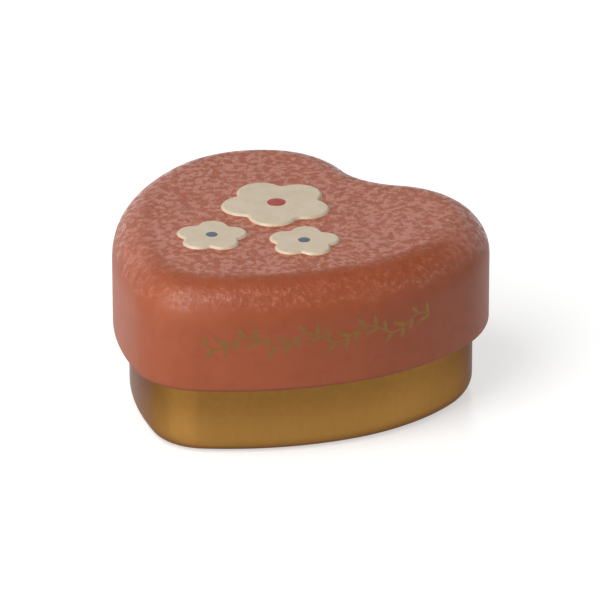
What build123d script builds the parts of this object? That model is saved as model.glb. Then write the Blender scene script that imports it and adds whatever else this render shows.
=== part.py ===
from build123d import *

import math
import os

# A small heart-shaped keepsake tin with a slip lid. The base is a cup drawn from one sheet of tinplate,
# with its rim curled inwards. The lid is drawn from a second sheet, with a wide rounded shoulder, a hem
# curled inwards at the foot of its skirt, and three blossoms stamped up in its top. The blossoms carry
# a coat of cream enamel, with a dab of colour at the heart of each: red on the large one, blue on the two
# small ones.
# Frame: Z up, the notch of the heart towards +Y, its tip towards -Y, the base standing on Z = 0.

# Overall sizes, in millimetres
box_width = 60.0
lid_top_height = 29.0
skirt_foot_height = 11.7
sheet = 0.3
overrun = 2.0

# The heart is a chain of tangent arcs, from the notch round one lobe to the tip, in millimetres and degrees
notch_radius = 10.6
notch_angle = 27.8
crown_radius = 15.6
crown_angle = 57.5
cheek_radius = 38.4
cheek_angle = 30.5
flank_angle = 28.0
tip_radius = 11.8

# Lid, in millimetres
shoulder_radius = 6.0
hem_width = 2.25
hem_radius = 0.7

# Base, in millimetres
slip_clearance = 0.3
foot_radius = 2.4
rim_radius = 0.75
rim_end_gap = 0.25
lid_seat_gap = 0.2
standing_ring_width = 2.6
panel_rise = 0.5

# Blossoms on the lid, in millimetres
emboss_height = 0.35
emboss_edge_radius = 0.25
enamel_thickness = 0.08
dab_thickness = 0.06
dab_radius = 1.6
petal_count = 5
petal_radius = 3.8
petal_reach = 5.0
crotch_radius = 1.1

# Each blossom: how far its centre lies to the right of and behind the middle of the lid's top, as shares
# of the box's width, its size as a share of the large one, and how far it is turned, in degrees
large_blossom_shares = (-0.065, 0.100, 1.0, 12.0)
small_blossom_shares = [
    (0.140, -0.055, 0.64, 50.0),
    (-0.075, -0.170, 0.64, -20.0),
]
blossom_shares = [large_blossom_shares] + small_blossom_shares

quarter = 90.0
half = 180.0
full = 360.0

# Derived places
hem_height = skirt_foot_height + hem_radius
base_inset = hem_width + slip_clearance
# The rim meets the round inside of the lid's shoulder, short of it by the seat gap
rim_reach = shoulder_radius - base_inset - rim_radius
rim_height = (
    lid_top_height
    - shoulder_radius
    + math.sqrt((shoulder_radius - sheet - rim_radius - lid_seat_gap) ** 2 - rim_reach**2)
)
panel_inset = base_inset + foot_radius + standing_ring_width


def direction(angle):
    """Unit vector at an angle in degrees from the first axis."""
    return math.cos(math.radians(angle)), math.sin(math.radians(angle))


def arc_between(place, start, end):
    """A circular arc through a place function at its start, its middle and its end angle."""
    return ThreePointArc(place(start), place((start + end) / 2), place(end))


def heart_chain():
    """Arcs of the right half, clockwise from the notch: centre, signed radius, two headings of travel.

    An arc's points lie at the radius along the outward normal, and the notch bends outwards, so its
    radius is negative. Two radii follow from the others: the lobe's, which closes the half width at the
    widest point, and the flank's, which brings the chain back to the axis at the tip.
    """
    half_width = box_width / 2
    crown_end = notch_angle - crown_angle
    cheek_end = -quarter - cheek_angle
    flank_end = cheek_end - flank_angle

    def run(start, end):
        return direction(end + quarter)[0] - direction(start + quarter)[0]

    lobe_radius = (
        half_width + notch_radius * run(0, notch_angle) - crown_radius * run(notch_angle, crown_end)
    ) / run(crown_end, -quarter)
    flank_radius = (
        -half_width - cheek_radius * run(-quarter, cheek_end) - tip_radius * run(flank_end, -half)
    ) / run(cheek_end, flank_end)
    steps = [
        (-notch_radius, 0, notch_angle),
        (crown_radius, notch_angle, crown_end),
        (lobe_radius, crown_end, -quarter),
        (cheek_radius, -quarter, cheek_end),
        (flank_radius, cheek_end, flank_end),
        (tip_radius, flank_end, -half),
    ]
    arcs = []
    x, y = 0.0, 0.0
    for radius, start, end in steps:
        normal = direction(start + quarter)
        centre = (x - radius * normal[0], y - radius * normal[1])
        arcs.append((centre, radius, start, end))
        normal = direction(end + quarter)
        x, y = centre[0] + radius * normal[0], centre[1] + radius * normal[1]
    lobe_top = arcs[1][0][1] + crown_radius
    middle = (lobe_top + y) / 2
    return [((cx, cy - middle), radius, start, end) for (cx, cy), radius, start, end in arcs]


HEART = heart_chain()
notch_y = HEART[0][0][1] + HEART[0][1]


def heart_wire(inset, height):
    """The heart's closed outline, drawn in all round by the inset."""
    edges = []
    for side in (1, -1):
        for centre, radius, start, end in HEART:

            def place(heading):
                normal = direction(heading + quarter)
                reach = radius - inset
                return side * (centre[0] + reach * normal[0]), centre[1] + reach * normal[1], height

            edges.append(arc_between(place, start, end))
    return Wire(edges)


def heart_block(inset, bottom, top):
    """A solid heart between two heights."""
    return extrude(Face(heart_wire(inset, bottom)), amount=top - bottom, dir=(0, 0, 1))


def round_top(block, radius):
    """The block with the edge of its top face rounded."""
    return fillet(block.faces().sort_by(Axis.Z)[-1].edges(), radius)


def round_bottom(block, radius):
    """The block with the edge of its bottom face rounded."""
    return fillet(block.faces().sort_by(Axis.Z)[0].edges(), radius)


def curl(inset, height, radius, flat_width, last, way):
    """The sheet's edge rolled inwards from the wall: a C-shaped section swept round the heart.

    way is -1 for a hem, which rolls past the bottom, and 1 for a rim, which rolls over the top. Both of
    its bends have one radius, with a flat between them, or none where its width is zero. The last bend
    ends at the last angle, which is 270 degrees at the flat and grows inwards.
    """
    section = Plane(origin=(0, notch_y, 0), x_dir=(0, -1, 0), z_dir=(-1, 0, 0))
    flat = half + quarter

    def bend(centre, reach):
        def place(angle):
            along, up = direction(angle)
            return section.from_local_coords((centre + reach * along, height - way * reach * up, 0))

        return place

    near = inset + radius
    far = near + flat_width
    outer, outer_last = bend(near, radius), bend(far, radius)
    inner, inner_last = bend(near, radius - sheet), bend(far, radius - sheet)
    edges = [
        arc_between(outer, half, flat),
        arc_between(outer_last, flat, last),
        Line(outer_last(last), inner_last(last)),
        arc_between(inner_last, last, flat),
        arc_between(inner, flat, half),
        Line(inner(half), outer(half)),
    ]
    if flat_width > 0:
        edges += [Line(outer(flat), outer_last(flat)), Line(inner(flat), inner_last(flat))]
    return sweep(Face(Wire(edges)), path=heart_wire(0, height))


def blossom_face(x, y, size, turn, grow, height):
    """A blossom's outline: petals of a circle's arc, joined by rounded crotches, grown all round."""
    petal = petal_radius * size
    reach = petal_reach * size
    crotch = crotch_radius * size
    pitch = full / petal_count
    along, across = direction(pitch / 2)
    crotch_reach = reach * along + math.sqrt((petal + crotch) ** 2 - (reach * across) ** 2)
    # Half the sweep of a petal's arc, from its axis to where it meets the crotch's arc
    lean = math.degrees(math.atan2(crotch_reach * across, crotch_reach * along - reach))
    edges = []
    for number in range(petal_count):
        axis = turn + number * pitch
        for centre_angle, centre_reach, radius, start, end in (
            (axis, reach, petal + grow, axis - lean, axis + lean),
            (axis + pitch / 2, crotch_reach, crotch - grow, axis + lean + half, axis + pitch - lean + half),
        ):
            centre = direction(centre_angle)

            def place(angle):
                ray = direction(angle)
                return (
                    x + centre_reach * centre[0] + radius * ray[0],
                    y + centre_reach * centre[1] + radius * ray[1],
                    height,
                )

            edges.append(arc_between(place, start, end))
    return Face(Wire(edges))


def blossom_block(blossom, grow, bottom, top):
    """A solid blossom between two heights, grown all round and with its upper edge rounded."""
    x, y, size, turn = blossom
    face = blossom_face(x * box_width, y * box_width, size, turn, grow, bottom)
    block = extrude(face, amount=top - bottom, dir=(0, 0, 1))
    return round_top(block, emboss_edge_radius + grow)


def lid_shell():
    """The lid: top, shoulder, skirt and hem in one sheet, with the blossoms stamped up."""
    skin = round_top(heart_block(0, hem_height, lid_top_height), shoulder_radius)
    skin -= round_top(heart_block(sheet, hem_height, lid_top_height - sheet), shoulder_radius - sheet)
    shell = skin + curl(0, hem_height, hem_radius, hem_width - 2 * hem_radius, full + quarter, -1)
    for blossom in blossom_shares:
        shell += blossom_block(blossom, 0, lid_top_height - sheet, lid_top_height + emboss_height)
    for blossom in blossom_shares:
        x, y, size, turn = blossom
        face = blossom_face(x * box_width, y * box_width, size, turn, -sheet, lid_top_height - overrun)
        shell -= extrude(face, amount=overrun + emboss_height - sheet, dir=(0, 0, 1))
    return shell


def blossom_enamel():
    """The cream coat over each stamped blossom, one cap for each."""
    caps = []
    for blossom in blossom_shares:
        top = lid_top_height + emboss_height
        cap = blossom_block(blossom, enamel_thickness, lid_top_height, top + enamel_thickness)
        caps.append(cap - blossom_block(blossom, 0, lid_top_height - sheet, top))
    return caps


def blossom_heart(blossom):
    """The dab of colour at the middle of a blossom."""
    x, y, size, turn = blossom
    place = Pos(x * box_width, y * box_width, lid_top_height + emboss_height + enamel_thickness)
    return place * extrude(Circle(dab_radius * size), amount=dab_thickness)


def base_cup():
    """The base: floor, wall and rim in one sheet, standing on a ring round a raised floor panel."""
    cup = round_bottom(heart_block(base_inset, 0, rim_height), foot_radius)
    hollow = round_bottom(heart_block(base_inset + sheet, sheet, rim_height), foot_radius - sheet)
    hollow -= heart_block(panel_inset - sheet, 0, sheet + panel_rise)
    cup -= hollow
    cup -= heart_block(panel_inset, -overrun, panel_rise)
    # The rim rolls on round until its end is short of the wall by the end gap
    last = full + math.degrees(math.acos((sheet + rim_end_gap - rim_radius) / rim_radius))
    return cup + curl(base_inset, rim_height, rim_radius, 0, last, 1)


os.makedirs("parts", exist_ok=True)
export_step(base_cup(), "parts/base_cup.step")
export_step(lid_shell(), "parts/lid_shell.step")
export_step(Compound(children=blossom_enamel()), "parts/blossom_enamel.step")
export_step(blossom_heart(large_blossom_shares), "parts/blossom_heart_red.step")
blue_hearts = [blossom_heart(blossom) for blossom in small_blossom_shares]
export_step(Compound(children=blue_hearts), "parts/blossom_hearts_blue.step")
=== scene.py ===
import math

import bmesh
import bpy
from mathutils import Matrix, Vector, geometry, kdtree, noise


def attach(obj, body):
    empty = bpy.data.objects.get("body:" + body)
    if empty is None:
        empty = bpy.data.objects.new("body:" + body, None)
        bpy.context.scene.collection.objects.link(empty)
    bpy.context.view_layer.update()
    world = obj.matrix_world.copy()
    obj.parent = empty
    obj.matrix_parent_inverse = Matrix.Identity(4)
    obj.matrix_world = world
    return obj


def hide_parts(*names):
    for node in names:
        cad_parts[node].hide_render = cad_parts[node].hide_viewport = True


# The looks of a small heart-shaped tin with a slip lid. Lid and base are each one drawn sheet, printed
# or lacquered outside and plain tinplate inside. Three enamelled blossoms stand up from the lid's top,
# and a gold garland runs along one flank of its skirt. Shapes are in metres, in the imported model's own
# frame, and materials are in millimetres.
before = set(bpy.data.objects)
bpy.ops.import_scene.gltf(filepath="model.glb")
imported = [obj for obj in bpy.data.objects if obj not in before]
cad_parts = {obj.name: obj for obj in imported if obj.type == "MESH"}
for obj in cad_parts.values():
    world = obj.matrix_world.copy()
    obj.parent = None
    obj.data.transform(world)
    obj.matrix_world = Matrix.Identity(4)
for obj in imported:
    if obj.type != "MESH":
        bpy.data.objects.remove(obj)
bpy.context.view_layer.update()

MM = 0.001
QUARTER = 90.0
HALF = 180.0
FULL = 360.0

# The tin's driving sizes, as the model has them
BOX_WIDTH = 60.0 * MM
LID_TOP = 29.0 * MM
SKIRT_FOOT = 11.7 * MM
SHEET = 0.3 * MM
SHOULDER_RADIUS = 6.0 * MM
HEM_WIDTH = 2.25 * MM
HEM_RADIUS = 0.7 * MM
RIM_RADIUS = 0.75 * MM
END_GAP = 0.25 * MM
SLIP_CLEARANCE = 0.3 * MM
SEAT_GAP = 0.2 * MM
FOOT_RADIUS = 2.4 * MM
STANDING_RING = 2.6 * MM
PANEL_RISE = 0.5 * MM

# The heart is a chain of tangent arcs, from the notch round one lobe to the tip
NOTCH_RADIUS = 10.6 * MM
NOTCH_ANGLE = 27.8
CROWN_RADIUS = 15.6 * MM
CROWN_ANGLE = 57.5
CHEEK_RADIUS = 38.4 * MM
CHEEK_ANGLE = 30.5
FLANK_ANGLE = 28.0
TIP_RADIUS = 11.8 * MM

# Blossoms, as the model has them
EMBOSS_HEIGHT = 0.35 * MM
ENAMEL = 0.08 * MM
DAB_THICKNESS = 0.06 * MM
DAB_RADIUS = 1.6 * MM
PETAL_COUNT = 5
PETAL_RADIUS = 3.8 * MM
PETAL_REACH = 5.0 * MM
CROTCH_RADIUS = 1.1 * MM
# Each blossom's place in shares of the box's width, its size as a share of the large one's, and its turn
LARGE_BLOSSOM = (-0.065, 0.100, 1.0, 12.0)
SMALL_BLOSSOMS = [(0.140, -0.055, 0.64, 50.0), (-0.075, -0.170, 0.64, -20.0)]
BLOSSOMS = [LARGE_BLOSSOM] + SMALL_BLOSSOMS

# How finely the meshes are cut: lengths, degrees of an arc, and steps along each other stretch
OUTLINE_STEP = 0.45 * MM
PLATE_STEP = 1.3 * MM
PLATE_ROW_SHARE = math.sin(math.radians(60))
ARC_STEP = 9.0
SKIRT_STEPS = 12
WALL_STEPS = 16
PANEL_STEPS = 8
PETAL_STEPS = 20
CROTCH_STEPS = 8
DAB_STEPS = 48
LEAF_STEPS = 12
WELD = 0.0005 * MM
SHARP = math.radians(50)

# The two finishes of a sheet, and the one of any other piece
OUTSIDE = 0
INSIDE = 1


def direction(angle):
    """Unit vector at an angle in degrees."""
    return Vector((math.cos(math.radians(angle)), math.sin(math.radians(angle))))


def smooth_step(low, high, value):
    """0 below low, 1 above high, and a smooth rise between them."""
    t = min(1.0, max(0.0, (value - low) / (high - low)))
    return t * t * (3 - 2 * t)


# The outline of the heart


def heart_chain():
    """Arcs of the right half, from the notch to the tip: centre, signed radius and two headings."""
    half_width = BOX_WIDTH / 2
    crown_end = NOTCH_ANGLE - CROWN_ANGLE
    cheek_end = -QUARTER - CHEEK_ANGLE
    flank_end = cheek_end - FLANK_ANGLE

    def run(start, end):
        return direction(end + QUARTER).x - direction(start + QUARTER).x

    lobe_radius = (
        half_width + NOTCH_RADIUS * run(0, NOTCH_ANGLE) - CROWN_RADIUS * run(NOTCH_ANGLE, crown_end)
    ) / run(crown_end, -QUARTER)
    flank_radius = (
        -half_width - CHEEK_RADIUS * run(-QUARTER, cheek_end) - TIP_RADIUS * run(flank_end, -HALF)
    ) / run(cheek_end, flank_end)
    steps = [
        (-NOTCH_RADIUS, 0, NOTCH_ANGLE),
        (CROWN_RADIUS, NOTCH_ANGLE, crown_end),
        (lobe_radius, crown_end, -QUARTER),
        (CHEEK_RADIUS, -QUARTER, cheek_end),
        (flank_radius, cheek_end, flank_end),
        (TIP_RADIUS, flank_end, -HALF),
    ]
    arcs = []
    here = Vector((0, 0))
    for radius, start, end in steps:
        centre = here - radius * direction(start + QUARTER)
        arcs.append((centre, radius, start, end))
        here = centre + radius * direction(end + QUARTER)
    middle = Vector((0, (arcs[1][0].y + CROWN_RADIUS + here.y) / 2))
    return [(centre - middle, radius, start, end) for centre, radius, start, end in arcs]


HEART = heart_chain()
HALF_TRAVEL = sum(abs(radius * math.radians(end - start)) for _, radius, start, end in HEART)


def outline(travel):
    """Point and outward normal of the heart's right half, at a distance from the notch along it."""
    for centre, radius, start, end in HEART:
        length = abs(radius * math.radians(end - start))
        if travel <= length:
            break
        travel -= length
    heading = start + (end - start) * min(1.0, travel / length)
    normal = direction(heading + QUARTER)
    return centre + radius * normal, normal


def heart_stations():
    """Points and outward normals all round the heart: down its right half, then up its left half."""
    count = round(HALF_TRAVEL / OUTLINE_STEP)
    right = [outline(HALF_TRAVEL * i / count) for i in range(count + 1)]
    left = [(Vector((-p.x, p.y)), Vector((-n.x, n.y))) for p, n in right[-2:0:-1]]
    return right + left


STATIONS = heart_stations()


def heart_ring(inset, height):
    """The heart's outline drawn in all round, at a height."""
    return [(point - inset * normal).to_3d() + Vector((0, 0, height)) for point, normal in STATIONS]


# Mesh tools


def arc(inset, height, radius, start, end):
    """Places (inset, height) along an arc of a sheet's section, with 0 degrees towards the inside."""
    count = max(2, round(abs(end - start) / ARC_STEP))
    angles = [start + (end - start) * i / count for i in range(count + 1)]
    return [(inset + radius * direction(a).x, height + radius * direction(a).y) for a in angles]


def straight(start, end, count):
    """Places (inset, height) evenly along a straight stretch of a sheet's section, without its ends."""
    return [
        tuple(a + (b - a) * i / count for a, b in zip(start, end))
        for i in range(1, count)
    ]


def join_rings(mesh, upper, lower, finish=OUTSIDE):
    """Faces between two rings of as many vertices each."""
    for i, corner in enumerate(upper):
        j = (i + 1) % len(upper)
        face = mesh.faces.new((corner, upper[j], lower[j], lower[i]))
        face.material_index = finish


def sweep(mesh, path, finish):
    """One side of a sheet: its section carried all round the heart."""
    rings = [[mesh.verts.new(p) for p in heart_ring(inset, height)] for inset, height in path]
    for upper, lower in zip(rings, rings[1:]):
        join_rings(mesh, upper, lower, finish)


def join_ends(mesh, outer, inner):
    """The cut edge of a sheet, between its outer and its inner side."""
    ends = [[mesh.verts.new(p) for p in heart_ring(*end)] for end in (outer, inner)]
    join_rings(mesh, *ends, INSIDE)


def fill_rings(mesh, rings, finish=OUTSIDE):
    """Faces from the first ring of points inwards to the middle of the last."""
    made = [[mesh.verts.new(p) for p in ring] for ring in rings]
    for outer, inner in zip(made, made[1:]):
        join_rings(mesh, outer, inner, finish)
    last = made[-1]
    middle = mesh.verts.new(sum((v.co for v in last), Vector()) / len(last))
    for i, corner in enumerate(last):
        face = mesh.faces.new((corner, last[(i + 1) % len(last)], middle))
        face.material_index = finish


def drawn_in(ring, share):
    """A ring of points drawn in towards its middle."""
    middle = sum(ring, Vector()) / len(ring)
    return [middle.lerp(p, share) for p in ring]


def inside(point, ring):
    """Whether a point lies within a closed ring, seen from above."""
    crossings = 0
    for a, b in zip(ring, ring[1:] + ring[:1]):
        if (a.y > point.y) != (b.y > point.y):
            crossings += point.x < a.x + (point.y - a.y) / (b.y - a.y) * (b.x - a.x)
    return crossings % 2 == 1


# What Blender's triangulation is asked for, and how near two points count as one, in millimetres
TRIANGLES_INSIDE = 1
SAME_POINT = 1e-6


def plate(mesh, ring, holes, finish):
    """An even net of triangles that fills a level ring and leaves out the holes."""
    height = ring[0].z
    points, edges = [], []
    for loop in [ring] + holes:
        first = len(points)
        points += [p.to_2d() / MM for p in loop]
        edges += [(first + i, first + (i + 1) % len(loop)) for i in range(len(loop))]
    rows = round(BOX_WIDTH / PLATE_STEP)
    for row in range(-rows, rows):
        for column in range(-rows, rows):
            spot = Vector((column + row % 2 / 2, row * PLATE_ROW_SHARE)) * PLATE_STEP
            if inside(spot, ring) and not any(inside(spot, hole) for hole in holes):
                points.append(spot / MM)
    found, _, faces, *_ = geometry.delaunay_2d_cdt(points, edges, [], TRIANGLES_INSIDE, SAME_POINT)
    corners = [mesh.verts.new((p.x * MM, p.y * MM, height)) for p in found]
    for face in faces:
        middle = sum((corners[i].co for i in face), Vector()) / len(face)
        if not any(inside(middle, hole) for hole in holes):
            mesh.faces.new([corners[i] for i in face]).material_index = finish


# How far the sheets are out of true, over what distance that changes, how far they are drawn in to make
# room for it, and the height from which they may sink by it in full
WANDER = 0.035 * MM
WANDER_SPAN = 17 * MM
WANDER_ROOM = 0.04 * MM
WANDER_FOOT = 4 * MM
# Without a seed, Blender places its vector noise by the clock
WANDER_SEED = 7


def wander(point):
    """How far drawn and handled tinplate is out of true at a point, and never upwards."""
    shift = noise.noise_vector(point / WANDER_SPAN) * WANDER
    shift.z = min(0.0, shift.z - WANDER / 2) * smooth_step(0, WANDER_FOOT, point.z)
    return shift


def finished_piece(name, mesh, materials, body, replaced=()):
    """The mesh as a smooth piece that rides on its body and stands for its nodes."""
    bmesh.ops.remove_doubles(mesh, verts=mesh.verts, dist=WELD)
    loose = [v for v in mesh.verts if not v.link_faces]
    bmesh.ops.delete(mesh, geom=loose, context="VERTS")
    bmesh.ops.recalc_face_normals(mesh, faces=mesh.faces)
    for face in mesh.faces:
        face.smooth = True
    for edge in mesh.edges:
        edge.smooth = edge.calc_face_angle(0) < SHARP
    # Drawn in first by as much as it may wander, so that it stays inside the model's box
    share = 1 - WANDER_ROOM / (BOX_WIDTH / 2)
    for vertex in mesh.verts:
        shift = wander(vertex.co)
        vertex.co = Vector((vertex.co.x * share, vertex.co.y * share, vertex.co.z)) + shift
    data = bpy.data.meshes.new(name)
    mesh.to_mesh(data)
    mesh.free()
    for material in materials:
        data.materials.append(material)
    piece = bpy.data.objects.new(name, data)
    bpy.context.scene.collection.objects.link(piece)
    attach(piece, body)
    if replaced:
        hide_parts(*replaced)
    return piece


# The blossoms


def blossom_ring(blossom, grow, height):
    """Points round a blossom's outline, grown all round, at a height."""
    x, y, size, turn = blossom
    middle = Vector((x, y)) * BOX_WIDTH
    petal, reach, crotch = PETAL_RADIUS * size, PETAL_REACH * size, CROTCH_RADIUS * size
    pitch = FULL / PETAL_COUNT
    lean_way = direction(pitch / 2)
    crotch_reach = reach * lean_way.x + math.sqrt((petal + crotch) ** 2 - (reach * lean_way.y) ** 2)
    lean = math.degrees(math.atan2(crotch_reach * lean_way.y, crotch_reach * lean_way.x - reach))

    def round_part(centre, radius, start, end, count):
        return [centre + radius * direction(start + (end - start) * i / count) for i in range(count)]

    points = []
    for number in range(PETAL_COUNT):
        axis = turn + number * pitch
        valley = axis + pitch / 2
        tip = middle + reach * direction(axis)
        dip = middle + crotch_reach * direction(valley)
        dip_start = axis + lean + HALF
        dip_end = axis + pitch - lean + HALF
        points += round_part(tip, petal + grow, axis - lean, axis + lean, PETAL_STEPS)
        points += round_part(dip, crotch - grow, dip_start, dip_end, CROTCH_STEPS)
    return [p.to_3d() + Vector((0, 0, height)) for p in points]


# The stamped relief's soft foot and edge. Its rings lie at these distances outside a blossom's outline,
# in millimetres, and then at these shares of the last ring
EMBOSS_FOOT = 0.22 * MM
EMBOSS_EDGE = 0.34 * MM
EMBOSS_GROWS = [0.22, 0.17, 0.12, 0.07, 0.02, -0.03, -0.08, -0.13, -0.18, -0.23, -0.28, -0.34, -0.48]
INNER_SHARES = [0.9, 0.78, 0.62, 0.45, 0.3, 0.15]


def emboss_rise(grow):
    """How high the lid's stamped top stands at a distance outside a blossom's outline."""
    return EMBOSS_HEIGHT * smooth_step(-EMBOSS_FOOT, EMBOSS_EDGE, -grow)


def emboss_rings(blossom, lift, grows):
    """Rings from a blossom's foot to near its middle, each lift(grow) above the lid's outer side."""
    rings = []
    for grow in grows:
        rings.append(blossom_ring(blossom, grow, LID_TOP + emboss_rise(grow) + lift(grow)))
    last = rings[-1]
    return rings + [drawn_in(last, share) for share in INNER_SHARES]


# The lid


def lid_section():
    """The outer and the inner side of the lid's sheet, from its top down to the curled hem's end."""
    hem_height = SKIRT_FOOT + HEM_RADIUS
    spring = LID_TOP - SHOULDER_RADIUS
    hem_end = HEM_WIDTH - HEM_RADIUS
    sides = []
    for depth in (0, SHEET):
        shoulder = arc(SHOULDER_RADIUS, spring, SHOULDER_RADIUS - depth, QUARTER, HALF)
        skirt = straight((depth, spring), (depth, hem_height), SKIRT_STEPS)
        hem = arc(HEM_RADIUS, hem_height, HEM_RADIUS - depth, HALF, FULL - QUARTER)
        hem += arc(hem_end, hem_height, HEM_RADIUS - depth, FULL - QUARTER, FULL + QUARTER)
        sides.append(shoulder + skirt + hem)
    return sides


def mark_inset(piece):
    """Keeps each vertex's distance from the heart's outline, in millimetres, for the print to read."""
    nearest = kdtree.KDTree(len(STATIONS))
    for number, (point, _) in enumerate(STATIONS):
        nearest.insert(point.to_3d(), number)
    nearest.balance()
    marks = piece.data.attributes.new("inset", "FLOAT", "POINT")
    for vertex, mark in zip(piece.data.vertices, marks.data):
        _, _, distance = nearest.find((vertex.co.x, vertex.co.y, 0.0))
        mark.value = distance / MM


def lid_shell(materials):
    """The lid: one sheet, stamped up into three blossoms, with its hem curled inwards."""
    mesh = bmesh.new()
    outer, inner = lid_section()
    sweep(mesh, outer, OUTSIDE)
    sweep(mesh, inner, INSIDE)
    join_ends(mesh, outer[-1], inner[-1])
    grows = [grow * MM for grow in EMBOSS_GROWS]
    for depth, finish in ((0, OUTSIDE), (SHEET, INSIDE)):
        holes = []
        for blossom in BLOSSOMS:
            rings = emboss_rings(blossom, lambda grow: -depth, grows)
            holes.append(rings[0])
            fill_rings(mesh, rings, finish)
        plate(mesh, heart_ring(SHOULDER_RADIUS, LID_TOP - depth), holes, finish)
    mark_inset(finished_piece("lid_sheet", mesh, materials, "lid", ["lid_shell"]))


# The enamel's thin edge, and the distances outside a blossom's outline at which it is built up
COAT_FOOT = 0.08 * MM
COAT_EDGE = 0.10 * MM
COAT_GROWS = [COAT_FOOT, 0.06 * MM, 0.03 * MM]


def coat_thickness(grow):
    """The enamel's thickness, which thins out at its edge."""
    return ENAMEL * math.sqrt(smooth_step(-COAT_FOOT, COAT_EDGE, -grow))


def blossom_coats(material):
    """The cream enamel over each stamped blossom."""
    mesh = bmesh.new()
    grows = COAT_GROWS + [grow * MM for grow in EMBOSS_GROWS if grow < 0]
    for blossom in BLOSSOMS:
        fill_rings(mesh, emboss_rings(blossom, coat_thickness, grows))
        fill_rings(mesh, emboss_rings(blossom, lambda grow: 0, grows))
    finished_piece("blossom_coats", mesh, [material], "lid", ["blossom_enamel"])


# A dab's rings, as shares of its radius and of its thickness, and how uneven its edge is
DAB_SHARES = [(1.0, 0.0), (0.97, 0.5), (0.88, 0.85), (0.6, 1.0), (0.3, 1.0)]
DAB_UNEVEN = 0.06
DAB_WAVES = 1.7


def dab(mesh, blossom):
    """A dab of colour at a blossom's middle, with the slightly uneven edge of a brush."""
    x, y, size, _ = blossom
    seat = Vector((x * BOX_WIDTH, y * BOX_WIDTH, LID_TOP + EMBOSS_HEIGHT + ENAMEL))
    rings = []
    for share, rise in DAB_SHARES:
        up = Vector((0, 0, rise * DAB_THICKNESS))
        ring = []
        for step in range(DAB_STEPS):
            ray = direction(step * FULL / DAB_STEPS).to_3d()
            edge = 1 - DAB_UNEVEN * (1 + noise.noise(ray * DAB_WAVES + seat / MM))
            ring.append(seat + ray * DAB_RADIUS * size * share * edge + up)
        rings.append(ring)
    fill_rings(mesh, rings)
    fill_rings(mesh, [rings[0], drawn_in(rings[0], 0.5)])


def dabs(name, blossoms, material, node):
    """The dabs of one colour."""
    mesh = bmesh.new()
    for blossom in blossoms:
        dab(mesh, blossom)
    finished_piece(name, mesh, [material], "lid", [node])


# The base

PANEL_SLOPE = 0.45 * MM


def base_section():
    """The outer and the inner side of the base's sheet, from its floor panel to the curled rim's end."""
    inset = HEM_WIDTH + SLIP_CLEARANCE
    rim_reach = SHOULDER_RADIUS - inset - RIM_RADIUS
    seat = SHOULDER_RADIUS - SHEET - RIM_RADIUS - SEAT_GAP
    rim_height = LID_TOP - SHOULDER_RADIUS + math.sqrt(seat**2 - rim_reach**2)
    last = math.degrees(math.acos((SHEET + END_GAP - RIM_RADIUS) / RIM_RADIUS))
    panel_inset = inset + FOOT_RADIUS + STANDING_RING
    shares = [i / PANEL_STEPS for i in range(PANEL_STEPS + 1)]
    sides = []
    for depth in (0, SHEET):
        insets = [panel_inset + PANEL_SLOPE * (1 - 2 * t) - depth for t in shares]
        heights = [depth + PANEL_RISE * smooth_step(0, 1, 1 - t) for t in shares]
        panel = list(zip(insets, heights))
        foot = arc(inset + FOOT_RADIUS, FOOT_RADIUS, FOOT_RADIUS - depth, -QUARTER, -HALF)
        wall = straight((inset + depth, FOOT_RADIUS), (inset + depth, rim_height), WALL_STEPS)
        rim = arc(inset + RIM_RADIUS, rim_height, RIM_RADIUS - depth, HALF, -last)
        sides.append(panel + foot + wall + rim)
    return sides


def base_cup(materials):
    """The base: one sheet, with a raised floor panel and its rim curled inwards."""
    mesh = bmesh.new()
    outer, inner = base_section()
    sweep(mesh, outer, OUTSIDE)
    sweep(mesh, inner, INSIDE)
    join_ends(mesh, outer[-1], inner[-1])
    for side, finish in ((outer, OUTSIDE), (inner, INSIDE)):
        plate(mesh, heart_ring(*side[0]), [], finish)
    finished_piece("base_sheet", mesh, materials, "base", ["base_cup"])


# The garland on the skirt: a swaying vine with leaves and berries, in gold ink on the right flank
GARLAND_START = 50.0 * MM
GARLAND_HEIGHT = 20.2 * MM
VINE_WAVES = 8
VINE_WAVE = 4.8 * MM
VINE_SWING = 1.0 * MM
VINE_WIDTH = 0.42 * MM
VINE_END_SHARE = 0.3
VINE_FULLNESS = 0.4
LEAF_LENGTH = 2.1 * MM
LEAF_WIDTH = 0.74 * MM
LEAF_END_SHARE = 0.04
LEAF_FULLNESS = 0.7
BERRY = 0.7 * MM
BERRY_DROP = 1.55 * MM
INK = 0.018 * MM
LEAF_INK = 0.014 * MM
# Where a wave's leaves grow, as shares of the wave from its crest, and their headings off the vine
LEAVES = [(-0.34, 50.0), (0.06, 55.0), (-0.42, -50.0), (0.30, -48.0)]


def on_skirt(spot, rise):
    """The place on the skirt at a spot (travel from the notch, height), risen off it."""
    point, normal = outline(spot.x)
    return (point + rise * normal).to_3d() + Vector((0, 0, spot.y))


def stroke(mesh, spine, widths, rise):
    """Ink along a line of spots on the skirt, as wide as given at each of them."""
    sides = ([], [])
    for i, (spot, width) in enumerate(zip(spine, widths)):
        along = (spine[min(i + 1, len(spine) - 1)] - spine[max(i - 1, 0)]).normalized()
        across = Vector((-along.y, along.x)) * width / 2
        sides[0].append(spot + across)
        sides[1].append(spot - across)
    edge = sides[0] + sides[1][::-1]
    layers = [[mesh.verts.new(on_skirt(spot, side * rise)) for spot in edge] for side in (1, -1)]
    join_rings(mesh, *layers)
    count = len(edge)
    for layer in layers:
        for i in range(len(spine) - 1):
            mesh.faces.new((layer[i], layer[i + 1], layer[count - 2 - i], layer[count - 1 - i]))


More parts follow.
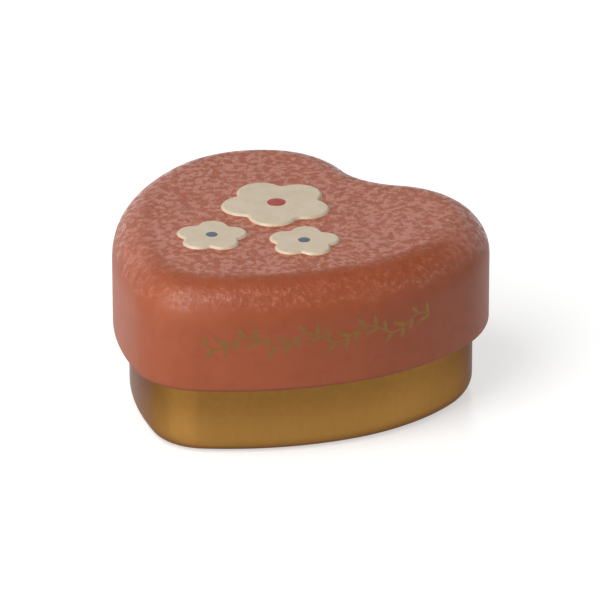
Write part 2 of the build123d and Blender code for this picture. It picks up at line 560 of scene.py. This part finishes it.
def vine_spot(travel):
    """A spot on the vine's line."""
    phase = math.pi * (travel - GARLAND_START) / VINE_WAVE
    return Vector((travel, GARLAND_HEIGHT + VINE_SWING * math.sin(phase)))


def vine_heading(travel):
    """The way the vine runs at a distance from the notch, in degrees above level."""
    step = vine_spot(travel + OUTLINE_STEP) - vine_spot(travel - OUTLINE_STEP)
    return math.degrees(math.atan2(step.y, step.x))


def leaf(mesh, root, heading, length, width):
    """A leaf, pointed at both ends, or a berry where it is as wide as it is long."""
    shares = [i / LEAF_STEPS for i in range(LEAF_STEPS + 1)]
    spine = [root + direction(heading) * length * t for t in shares]
    widths = [max(LEAF_END_SHARE, math.sin(math.pi * t) ** LEAF_FULLNESS) * width for t in shares]
    stroke(mesh, spine, widths, LEAF_INK)


def vine(mesh):
    """The vine, which narrows towards both its ends."""
    length = VINE_WAVES * VINE_WAVE
    count = round(length / OUTLINE_STEP)
    shares = [i / count for i in range(count + 1)]
    spine = [vine_spot(GARLAND_START + length * t) for t in shares]
    widths = [
        VINE_WIDTH * (VINE_END_SHARE + (1 - VINE_END_SHARE) * math.sin(math.pi * t) ** VINE_FULLNESS)
        for t in shares
    ]
    stroke(mesh, spine, widths, INK)


def garland(material):
    """The gold garland: its vine, and leaves and a berry on each of the vine's waves."""
    mesh = bmesh.new()
    vine(mesh)
    for wave in range(VINE_WAVES):
        crest = GARLAND_START + (wave + 0.5) * VINE_WAVE
        side = -1 if wave % 2 else 1
        for share, lean in LEAVES:
            travel = crest + share * VINE_WAVE
            leaf(mesh, vine_spot(travel), vine_heading(travel) + side * lean, LEAF_LENGTH, LEAF_WIDTH)
        berry = vine_spot(crest) + Vector((-BERRY / 2, -side * BERRY_DROP))
        leaf(mesh, berry, 0, BERRY, BERRY)
    finished_piece("skirt_garland", mesh, [material], "lid")


# Materials


def srgb(red, green, blue):
    """A colour written as it shows on a screen, from 0 to 255."""
    shares = [c / 255 for c in (red, green, blue)]
    return [c / 12.92 if c <= 0.04045 else ((c + 0.055) / 1.055) ** 2.4 for c in shares] + [1.0]


class Paint:
    """A material whose nodes are added by short calls. Coordinates are the piece's own, in millimetres."""

    def __init__(self, name):
        self.material = bpy.data.materials.new(name)
        self.material.use_nodes = True
        self.tree = self.material.node_tree
        self.shader = self.tree.nodes["Principled BSDF"]
        metres = self.add("ShaderNodeTexCoord").outputs["Object"]
        scaled = self.add("ShaderNodeVectorMath", {0: metres, "Scale": 1 / MM}, operation="SCALE")
        self.place = scaled.outputs["Vector"]
        parts = self.add("ShaderNodeSeparateXYZ", {"Vector": self.place}).outputs
        self.x, self.y, self.height = parts["X"], parts["Y"], parts["Z"]

    def add(self, kind, inputs=(), **settings):
        """A node, with its settings and with its inputs set or linked."""
        made = self.tree.nodes.new(kind)
        for name, value in settings.items():
            setattr(made, name, value)
        for name, value in dict(inputs).items():
            self.plug(made.inputs[name], value)
        return made

    def plug(self, socket, value):
        """Links an output to the socket, or sets its value."""
        if isinstance(value, bpy.types.NodeSocket):
            self.tree.links.new(value, socket)
        else:
            socket.default_value = value

    def math(self, operation, first, second=0.0):
        """One step of arithmetic with outputs or numbers."""
        inputs = {0: first, 1: second}
        return self.add("ShaderNodeMath", inputs, operation=operation).outputs["Value"]

    def plus(self, first, second):
        return self.math("ADD", first, second)

    def minus(self, first, second):
        return self.math("SUBTRACT", first, second)

    def times(self, first, second):
        return self.math("MULTIPLY", first, second)

    def larger(self, first, second):
        return self.math("MAXIMUM", first, second)

    def stretched(self, x, y, z):
        """The coordinates with each axis scaled."""
        made = self.add("ShaderNodeVectorMath", {0: self.place, 1: (x, y, z)}, operation="MULTIPLY")
        return made.outputs["Vector"]

    def noise(self, size, detail=3.0, roughness=0.55, distortion=0.0, where=None):
        """Noise with spots of about a size in millimetres, around a half."""
        inputs = {
            "Vector": where or self.place,
            "Scale": 1 / size,
            "Detail": detail,
            "Roughness": roughness,
            "Distortion": distortion,
        }
        return self.add("ShaderNodeTexNoise", inputs).outputs["Fac"]

    def cells(self, size):
        """Distance to the nearest of scattered points about a size apart, in millimetres."""
        inputs = {"Vector": self.place, "Scale": 1 / size}
        return self.add("ShaderNodeTexVoronoi", inputs, feature="F1").outputs["Distance"]

    def rise(self, value, low, high):
        """0 where the value is at low, 1 where it is at high, and smooth between them."""
        inputs = {"Value": value, "From Min": low, "From Max": high}
        made = self.add("ShaderNodeMapRange", inputs, interpolation_type="SMOOTHSTEP")
        return made.outputs["Result"]

    def between(self, share, low, high):
        """Low where the share is 0, high where it is 1, and even between them."""
        inputs = {"Value": share, "To Min": low, "To Max": high}
        return self.add("ShaderNodeMapRange", inputs).outputs["Result"]

    def mix(self, first, second, share, strength=1.0):
        """One colour turning into another, as far as the strength where the share is 1."""
        if strength < 1:
            share = self.times(share, strength)
        inputs = {"Factor": share, "A": first, "B": second}
        return self.add("ShaderNodeMix", inputs, data_type="RGBA").outputs["Result"]

    def bump(self, height, depth):
        """The surface's normal with relief of a depth in millimetres."""
        inputs = {"Height": height, "Distance": depth * MM, "Strength": 1.0}
        return self.add("ShaderNodeBump", inputs).outputs["Normal"]

    def finish(self, **inputs):
        """The shader's own sockets, by name with underscores for spaces."""
        for name, value in inputs.items():
            self.plug(self.shader.inputs[name.replace("_", " ")], value)
        return self.material


# Bands of the lid's print and of the painted sheen and shade on it, in millimetres: from where a look is
# absent to where it is full
TOP = LID_TOP / MM
FOOT = SKIRT_FOOT / MM
ROUND = SHOULDER_RADIUS / MM
FLECKED_HEIGHTS = (TOP - 3.1, TOP - 1.5)
FLAT_HEIGHTS = (TOP - 1.1, TOP - 0.4)
SHEEN_AND_FLECK_INSETS = (ROUND + 0.2, ROUND + 1.4)
SHEEN_AND_FLECK_HEIGHTS = (TOP - 2.2, TOP)
FRONT_XS = (-11.0, -5.0)
FRONT_YS = (14.0, 6.0)
HEM_SHADE_HEIGHTS = (FOOT + 0.8, FOOT + 0.05)
RAGGED_RISE = 2.4
SHEEN_AND_FLECK_SHOULDER_SHARE = 0.6


def coral_ground(paint):
    """Coral, with broad clouds, rosy patches and a fine darker mottle."""
    cloud = paint.rise(paint.noise(16.0, detail=2.0), 0.35, 0.65)
    rosy = paint.rise(paint.noise(5.0), 0.5, 0.75)
    mottle = paint.rise(paint.noise(1.9, detail=4.0), 0.45, 0.68)
    ground = paint.mix(srgb(156, 76, 40), srgb(163, 82, 47), cloud)
    ground = paint.mix(ground, srgb(168, 80, 60), rosy, strength=0.35)
    return paint.mix(ground, srgb(146, 64, 38), mottle, strength=0.3)


def sponging_and_painted_sheen(paint, ragged, ragged_height):
    """Where the flecks are thickest and paler as painted sheen: on the flat top, and on over its shoulder
    at the left and the back, with the front left darker as painted shade.
    """
    inset = paint.add("ShaderNodeAttribute", attribute_name="inset").outputs["Fac"]
    flat = paint.rise(paint.plus(inset, ragged), *SHEEN_AND_FLECK_INSETS)
    # The front of the shoulder is left out: painted shade there, and paler painted sheen at the left and
    # the back
    front = paint.times(paint.rise(paint.x, *FRONT_XS), paint.rise(paint.y, *FRONT_YS))
    behind = paint.minus(SHEEN_AND_FLECK_SHOULDER_SHARE, paint.times(front, SHEEN_AND_FLECK_SHOULDER_SHARE))
    return paint.larger(flat, paint.times(behind, paint.rise(ragged_height, *SHEEN_AND_FLECK_HEIGHTS)))


def lid_print():
    """Coral print over the outside of the lid, sponged with pale flecks on its top and shoulder, with
    painted sheen, glints and shade laid into its colour.
    """
    paint = Paint("lid_print")
    sponge = paint.noise(1.15, detail=5.0, roughness=0.62, distortion=0.3)
    fine = paint.noise(0.8)
    ragged = paint.noise(2.6)
    ragged_height = paint.plus(paint.height, paint.times(ragged, RAGGED_RISE))
    flecked = paint.rise(ragged_height, *FLECKED_HEIGHTS)
    flecks_and_sheen = sponging_and_painted_sheen(paint, ragged, ragged_height)
    pale = srgb(206, 130, 110)
    # Painted sheen: the flat top and the shoulder at the left and back are paler and their flecks fuller,
    # the front of the shoulder stays darker
    colour = paint.mix(coral_ground(paint), pale, flecks_and_sheen, strength=0.2)
    flecks = paint.times(paint.rise(sponge, 0.42, 0.62), flecked)
    colour = paint.mix(colour, pale, paint.times(flecks, paint.between(flecks_and_sheen, 0.12, 0.5)))
    # Fine specks on the shoulder alone, partly print and partly painted glints of light on its relief
    shoulder = paint.larger(paint.minus(flecked, paint.rise(paint.height, *FLAT_HEIGHTS)), 0.0)
    specks_and_glints = paint.times(paint.rise(fine, 0.5, 0.68), shoulder)
    colour = paint.mix(colour, srgb(206, 122, 94), specks_and_glints, strength=0.4)
    # Painted highlights: thin pale lines round the sponge's marks, standing for glints on the varnish
    off_line = paint.math("ABSOLUTE", paint.minus(sponge, 0.55))
    glint_lines = paint.larger(paint.minus(flecks_and_sheen, paint.rise(off_line, 0.0, 0.02)), 0.0)
    colour = paint.mix(colour, srgb(230, 170, 150), glint_lines, strength=0.5)
    # Painted shade along the hem's fold, standing for the shadow between lid and base: the print is
    # darkened there, and made duller
    hem_shade = paint.times(paint.rise(paint.height, *HEM_SHADE_HEIGHTS), 0.55)
    colour = paint.mix(colour, srgb(112, 50, 32), hem_shade)
    relief = paint.minus(paint.plus(paint.times(fine, 0.6), sponge), 0.8)
    return paint.finish(
        Base_Color=colour,
        Roughness=paint.plus(paint.between(flecks, 0.48, 0.2), paint.times(hem_shade, 0.4)),
        Specular_IOR_Level=0.4,
        Normal=paint.bump(paint.times(relief, flecked), 0.16),
    )


# Bands of painted light on the lacquer, in heights up the base: where it fades above, into painted shade
# under the lid's overhang, and at the foot
PAINTED_LIGHT_TOP_HEIGHTS = (10.0, 3.0)
PAINTED_LIGHT_FOOT_HEIGHTS = (0.3, FOOT_RADIUS / MM)


def gold_lacquer():
    """Gold lacquer outside the base, palest low on its wall by painted light, with faint spots and streaks
    of drawing.
    """
    paint = Paint("gold_lacquer")
    cloud = paint.rise(paint.noise(12.0), 0.3, 0.7)
    streaks = paint.noise(0.8, where=paint.stretched(1.0, 1.0, 0.15))
    spots = paint.rise(paint.noise(1.2, detail=4.0), 0.45, 0.65)
    painted_light = paint.times(
        paint.rise(paint.height, *PAINTED_LIGHT_TOP_HEIGHTS), paint.rise(paint.height, *PAINTED_LIGHT_FOOT_HEIGHTS)
    )
    colour = paint.mix(srgb(121, 85, 38), srgb(130, 92, 43), cloud)
    # Painted light: paler low on the wall, with painted shade up under the lid's overhang and at the foot
    colour = paint.mix(colour, srgb(154, 113, 57), painted_light, strength=0.75)
    colour = paint.mix(colour, srgb(150, 112, 60), spots, strength=0.15)
    colour = paint.mix(colour, srgb(118, 82, 36), paint.rise(streaks, 0.4, 0.8), strength=0.12)
    return paint.finish(
        Base_Color=colour,
        Metallic=0.92,
        Specular_Tint=srgb(190, 181, 190),
        Roughness=paint.between(cloud, 0.27, 0.33),
        Normal=paint.bump(paint.plus(paint.noise(0.3), streaks), 0.004),
    )


def tinplate():
    """Bare tinplate inside both sheets, with its faint grain of crystals."""
    paint = Paint("tinplate")
    dull = paint.noise(9.0)
    colour = paint.mix(srgb(202, 200, 195), srgb(218, 217, 213), paint.rise(dull, 0.3, 0.7))
    colour = paint.mix(colour, srgb(228, 227, 223), paint.cells(2.4), strength=0.3)
    return paint.finish(
        Base_Color=colour,
        Metallic=1.0,
        Roughness=paint.between(dull, 0.26, 0.42),
        Normal=paint.bump(paint.noise(0.5), 0.004),
    )


def enamel(name, colour, pale, deep):
    """Satin enamel, a little uneven in colour and in thickness."""
    paint = Paint(name)
    cloud = paint.rise(paint.noise(3.2, detail=4.0), 0.3, 0.7)
    fine = paint.rise(paint.noise(0.6), 0.35, 0.65)
    shade = paint.mix(srgb(*deep), srgb(*colour), cloud)
    return paint.finish(
        Base_Color=paint.mix(shade, srgb(*pale), fine, strength=0.3),
        Roughness=paint.between(cloud, 0.42, 0.34),
        Normal=paint.bump(paint.noise(1.4, detail=4.0), 0.02),
    )


def garland_ink():
    """Gold ink, worn a little thin in places."""
    paint = Paint("garland_ink")
    worn = paint.rise(paint.noise(1.1), 0.4, 0.7)
    return paint.finish(
        Base_Color=paint.mix(srgb(128, 92, 46), srgb(142, 92, 56), worn),
        Metallic=0.7,
        Roughness=paint.between(worn, 0.4, 0.5),
    )


# Studio

TARGET = Vector((0.90, 5.79, 13.76)) * MM
VIEW_AZIMUTH = 36.41
VIEW_ELEVATION = 24.34
VIEW_DISTANCE = 1018.0 * MM
VIEW_LENS = 384.2
VIEW_SENSOR = 36.0
VIEW_NEAR = 0.01
VIEW_FAR = 20.0


def toward(azimuth, elevation):
    """Unit vector from the tin, with azimuth 0 to its front (-Y) and 90 to its right (+X)."""
    level, up = direction(elevation)
    ahead = direction(azimuth - QUARTER)
    return Vector((ahead.x * level, ahead.y * level, up))


def aimed_at_tin(name, data, azimuth, elevation, distance):
    """A camera or lamp as an object that faces the tin."""
    made = bpy.data.objects.new(name, data)
    back = toward(azimuth, elevation)
    made.location = TARGET + back * distance
    made.rotation_euler = back.to_track_quat("Z", "Y").to_euler()
    bpy.context.scene.collection.objects.link(made)
    return made


def camera():
    """The camera, at the photograph's viewing angle."""
    data = bpy.data.cameras.new("camera")
    data.lens = VIEW_LENS
    data.sensor_width = VIEW_SENSOR
    data.clip_start = VIEW_NEAR
    data.clip_end = VIEW_FAR
    seen = aimed_at_tin("camera", data, VIEW_AZIMUTH, VIEW_ELEVATION, VIEW_DISTANCE)
    bpy.context.scene.camera = seen


# Each lamp's azimuth off the view's, elevation, distance, width, height and power
LAMPS = {
    "key": (-47, 55, 0.9, 0.6, 0.6, 5.1),
    "low": (-45, 22, 0.9, 0.9, 0.3, 3.3),
    "fill": (72, 22, 0.9, 0.4, 0.3, 0.35),
}


def lamp(name, aside, elevation, distance, width, height, power):
    """A soft lamp that faces the tin."""
    data = bpy.data.lights.new(name, "AREA")
    data.shape = "RECTANGLE"
    data.size, data.size_y = width, height
    data.energy = power
    aimed_at_tin(name, data, VIEW_AZIMUTH + aside, elevation, distance)


def seen_directly(nodes, links):
    """1 for rays from the camera, off gloss or through glass, and 0 for rays of scattered light."""
    path = nodes.new("ShaderNodeLightPath").outputs
    total = path["Is Camera Ray"]
    for other in ("Is Glossy Ray", "Is Transmission Ray"):
        added = nodes.new("ShaderNodeMath")
        added.operation = "MAXIMUM"
        links.new(total, added.inputs[0])
        links.new(path[other], added.inputs[1])
        total = added.outputs["Value"]
    return total


FLOOR_SIZE = 6.0
FLOOR_DROP = 0.02 * MM
FLOOR_GLOW = 0.52
FLOOR_FINISH = {
    "Base Color": srgb(222, 222, 221),
    "Roughness": 0.25,
    "Specular IOR Level": 0.9,
    "Emission Color": srgb(255, 255, 255),
}


def floor():
    """A plain white floor, which keeps a faint shadow."""
    mesh = bmesh.new()
    bmesh.ops.create_grid(mesh, x_segments=1, y_segments=1, size=FLOOR_SIZE / 2)
    data = bpy.data.meshes.new("floor")
    mesh.to_mesh(data)
    mesh.free()
    ground = bpy.data.objects.new("floor", data)
    ground.location.z = -FLOOR_DROP
    bpy.context.scene.collection.objects.link(ground)
    material = bpy.data.materials.new("floor")
    material.use_nodes = True
    nodes, links = material.node_tree.nodes, material.node_tree.links
    shader = nodes["Principled BSDF"]
    for socket, value in FLOOR_FINISH.items():
        shader.inputs[socket].default_value = value
    scaled = nodes.new("ShaderNodeMath")
    scaled.operation = "MULTIPLY"
    scaled.inputs[1].default_value = FLOOR_GLOW
    links.new(seen_directly(nodes, links), scaled.inputs[0])
    links.new(scaled.outputs["Value"], shader.inputs["Emission Strength"])
    data.materials.append(material)


# The sky's strengths, and the elevations between which its reflection dims
SKY_LIGHT = 0.26
SKY_WHITE = 1.0
SKY_DARK = 0.2
SKY_WHITE_BELOW = 30
SKY_DARK_ABOVE = 40


def surroundings():
    """White to the eye and in reflections near the horizon, dim overhead, and soft light on the tin."""
    world = bpy.data.worlds.new("surroundings")
    bpy.context.scene.world = world
    world.use_nodes = True
    nodes, links = world.node_tree.nodes, world.node_tree.links
    nodes.clear()

    def node(kind, **settings):
        made = nodes.new(kind)
        for name, value in settings.items():
            setattr(made, name, value)
        return made

    up = node("ShaderNodeSeparateXYZ")
    links.new(node("ShaderNodeTexCoord").outputs["Generated"], up.inputs[0])
    overhead = node("ShaderNodeMapRange", interpolation_type="SMOOTHSTEP")
    overhead.inputs["From Min"].default_value = math.sin(math.radians(SKY_WHITE_BELOW))
    overhead.inputs["From Max"].default_value = math.sin(math.radians(SKY_DARK_ABOVE))
    overhead.inputs["To Min"].default_value = SKY_WHITE
    overhead.inputs["To Max"].default_value = SKY_DARK
    links.new(up.outputs["Z"], overhead.inputs["Value"])
    path = node("ShaderNodeLightPath").outputs
    # What gloss shows, then what the camera and glass show, over the light that is scattered
    gloss = node("ShaderNodeMix")
    gloss.inputs["A"].default_value = SKY_LIGHT
    links.new(overhead.outputs["Result"], gloss.inputs["B"])
    links.new(path["Is Glossy Ray"], gloss.inputs["Factor"])
    clear = node("ShaderNodeMath", operation="MAXIMUM")
    links.new(path["Is Camera Ray"], clear.inputs[0])
    links.new(path["Is Transmission Ray"], clear.inputs[1])
    strength = node("ShaderNodeMix")
    strength.inputs["B"].default_value = SKY_WHITE
    links.new(gloss.outputs["Result"], strength.inputs["A"])
    links.new(clear.outputs["Value"], strength.inputs["Factor"])
    back = node("ShaderNodeBackground")
    links.new(strength.outputs["Result"], back.inputs["Strength"])
    links.new(back.outputs["Background"], node("ShaderNodeOutputWorld").inputs["Surface"])


def main():
    """Makes the pieces, the studio and the camera."""
    noise.seed_set(WANDER_SEED)
    bare = tinplate()
    lid_shell([lid_print(), bare])
    cream = enamel("cream_enamel", colour=(218, 200, 175), pale=(224, 208, 187), deep=(210, 191, 163))
    red = enamel("red_enamel", colour=(178, 52, 44), pale=(196, 74, 62), deep=(160, 42, 36))
    blue = enamel("blue_enamel", colour=(92, 104, 124), pale=(116, 128, 146), deep=(78, 88, 106))
    blossom_coats(cream)
    dabs("dab_red", [LARGE_BLOSSOM], red, "blossom_heart_red")
    dabs("dabs_blue", SMALL_BLOSSOMS, blue, "blossom_hearts_blue")
    garland(garland_ink())
    base_cup([gold_lacquer(), bare])
    floor()
    surroundings()
    for name, settings in LAMPS.items():
        lamp(name, *settings)
    camera()
    bpy.context.scene.view_settings.view_transform = "Standard"


main()
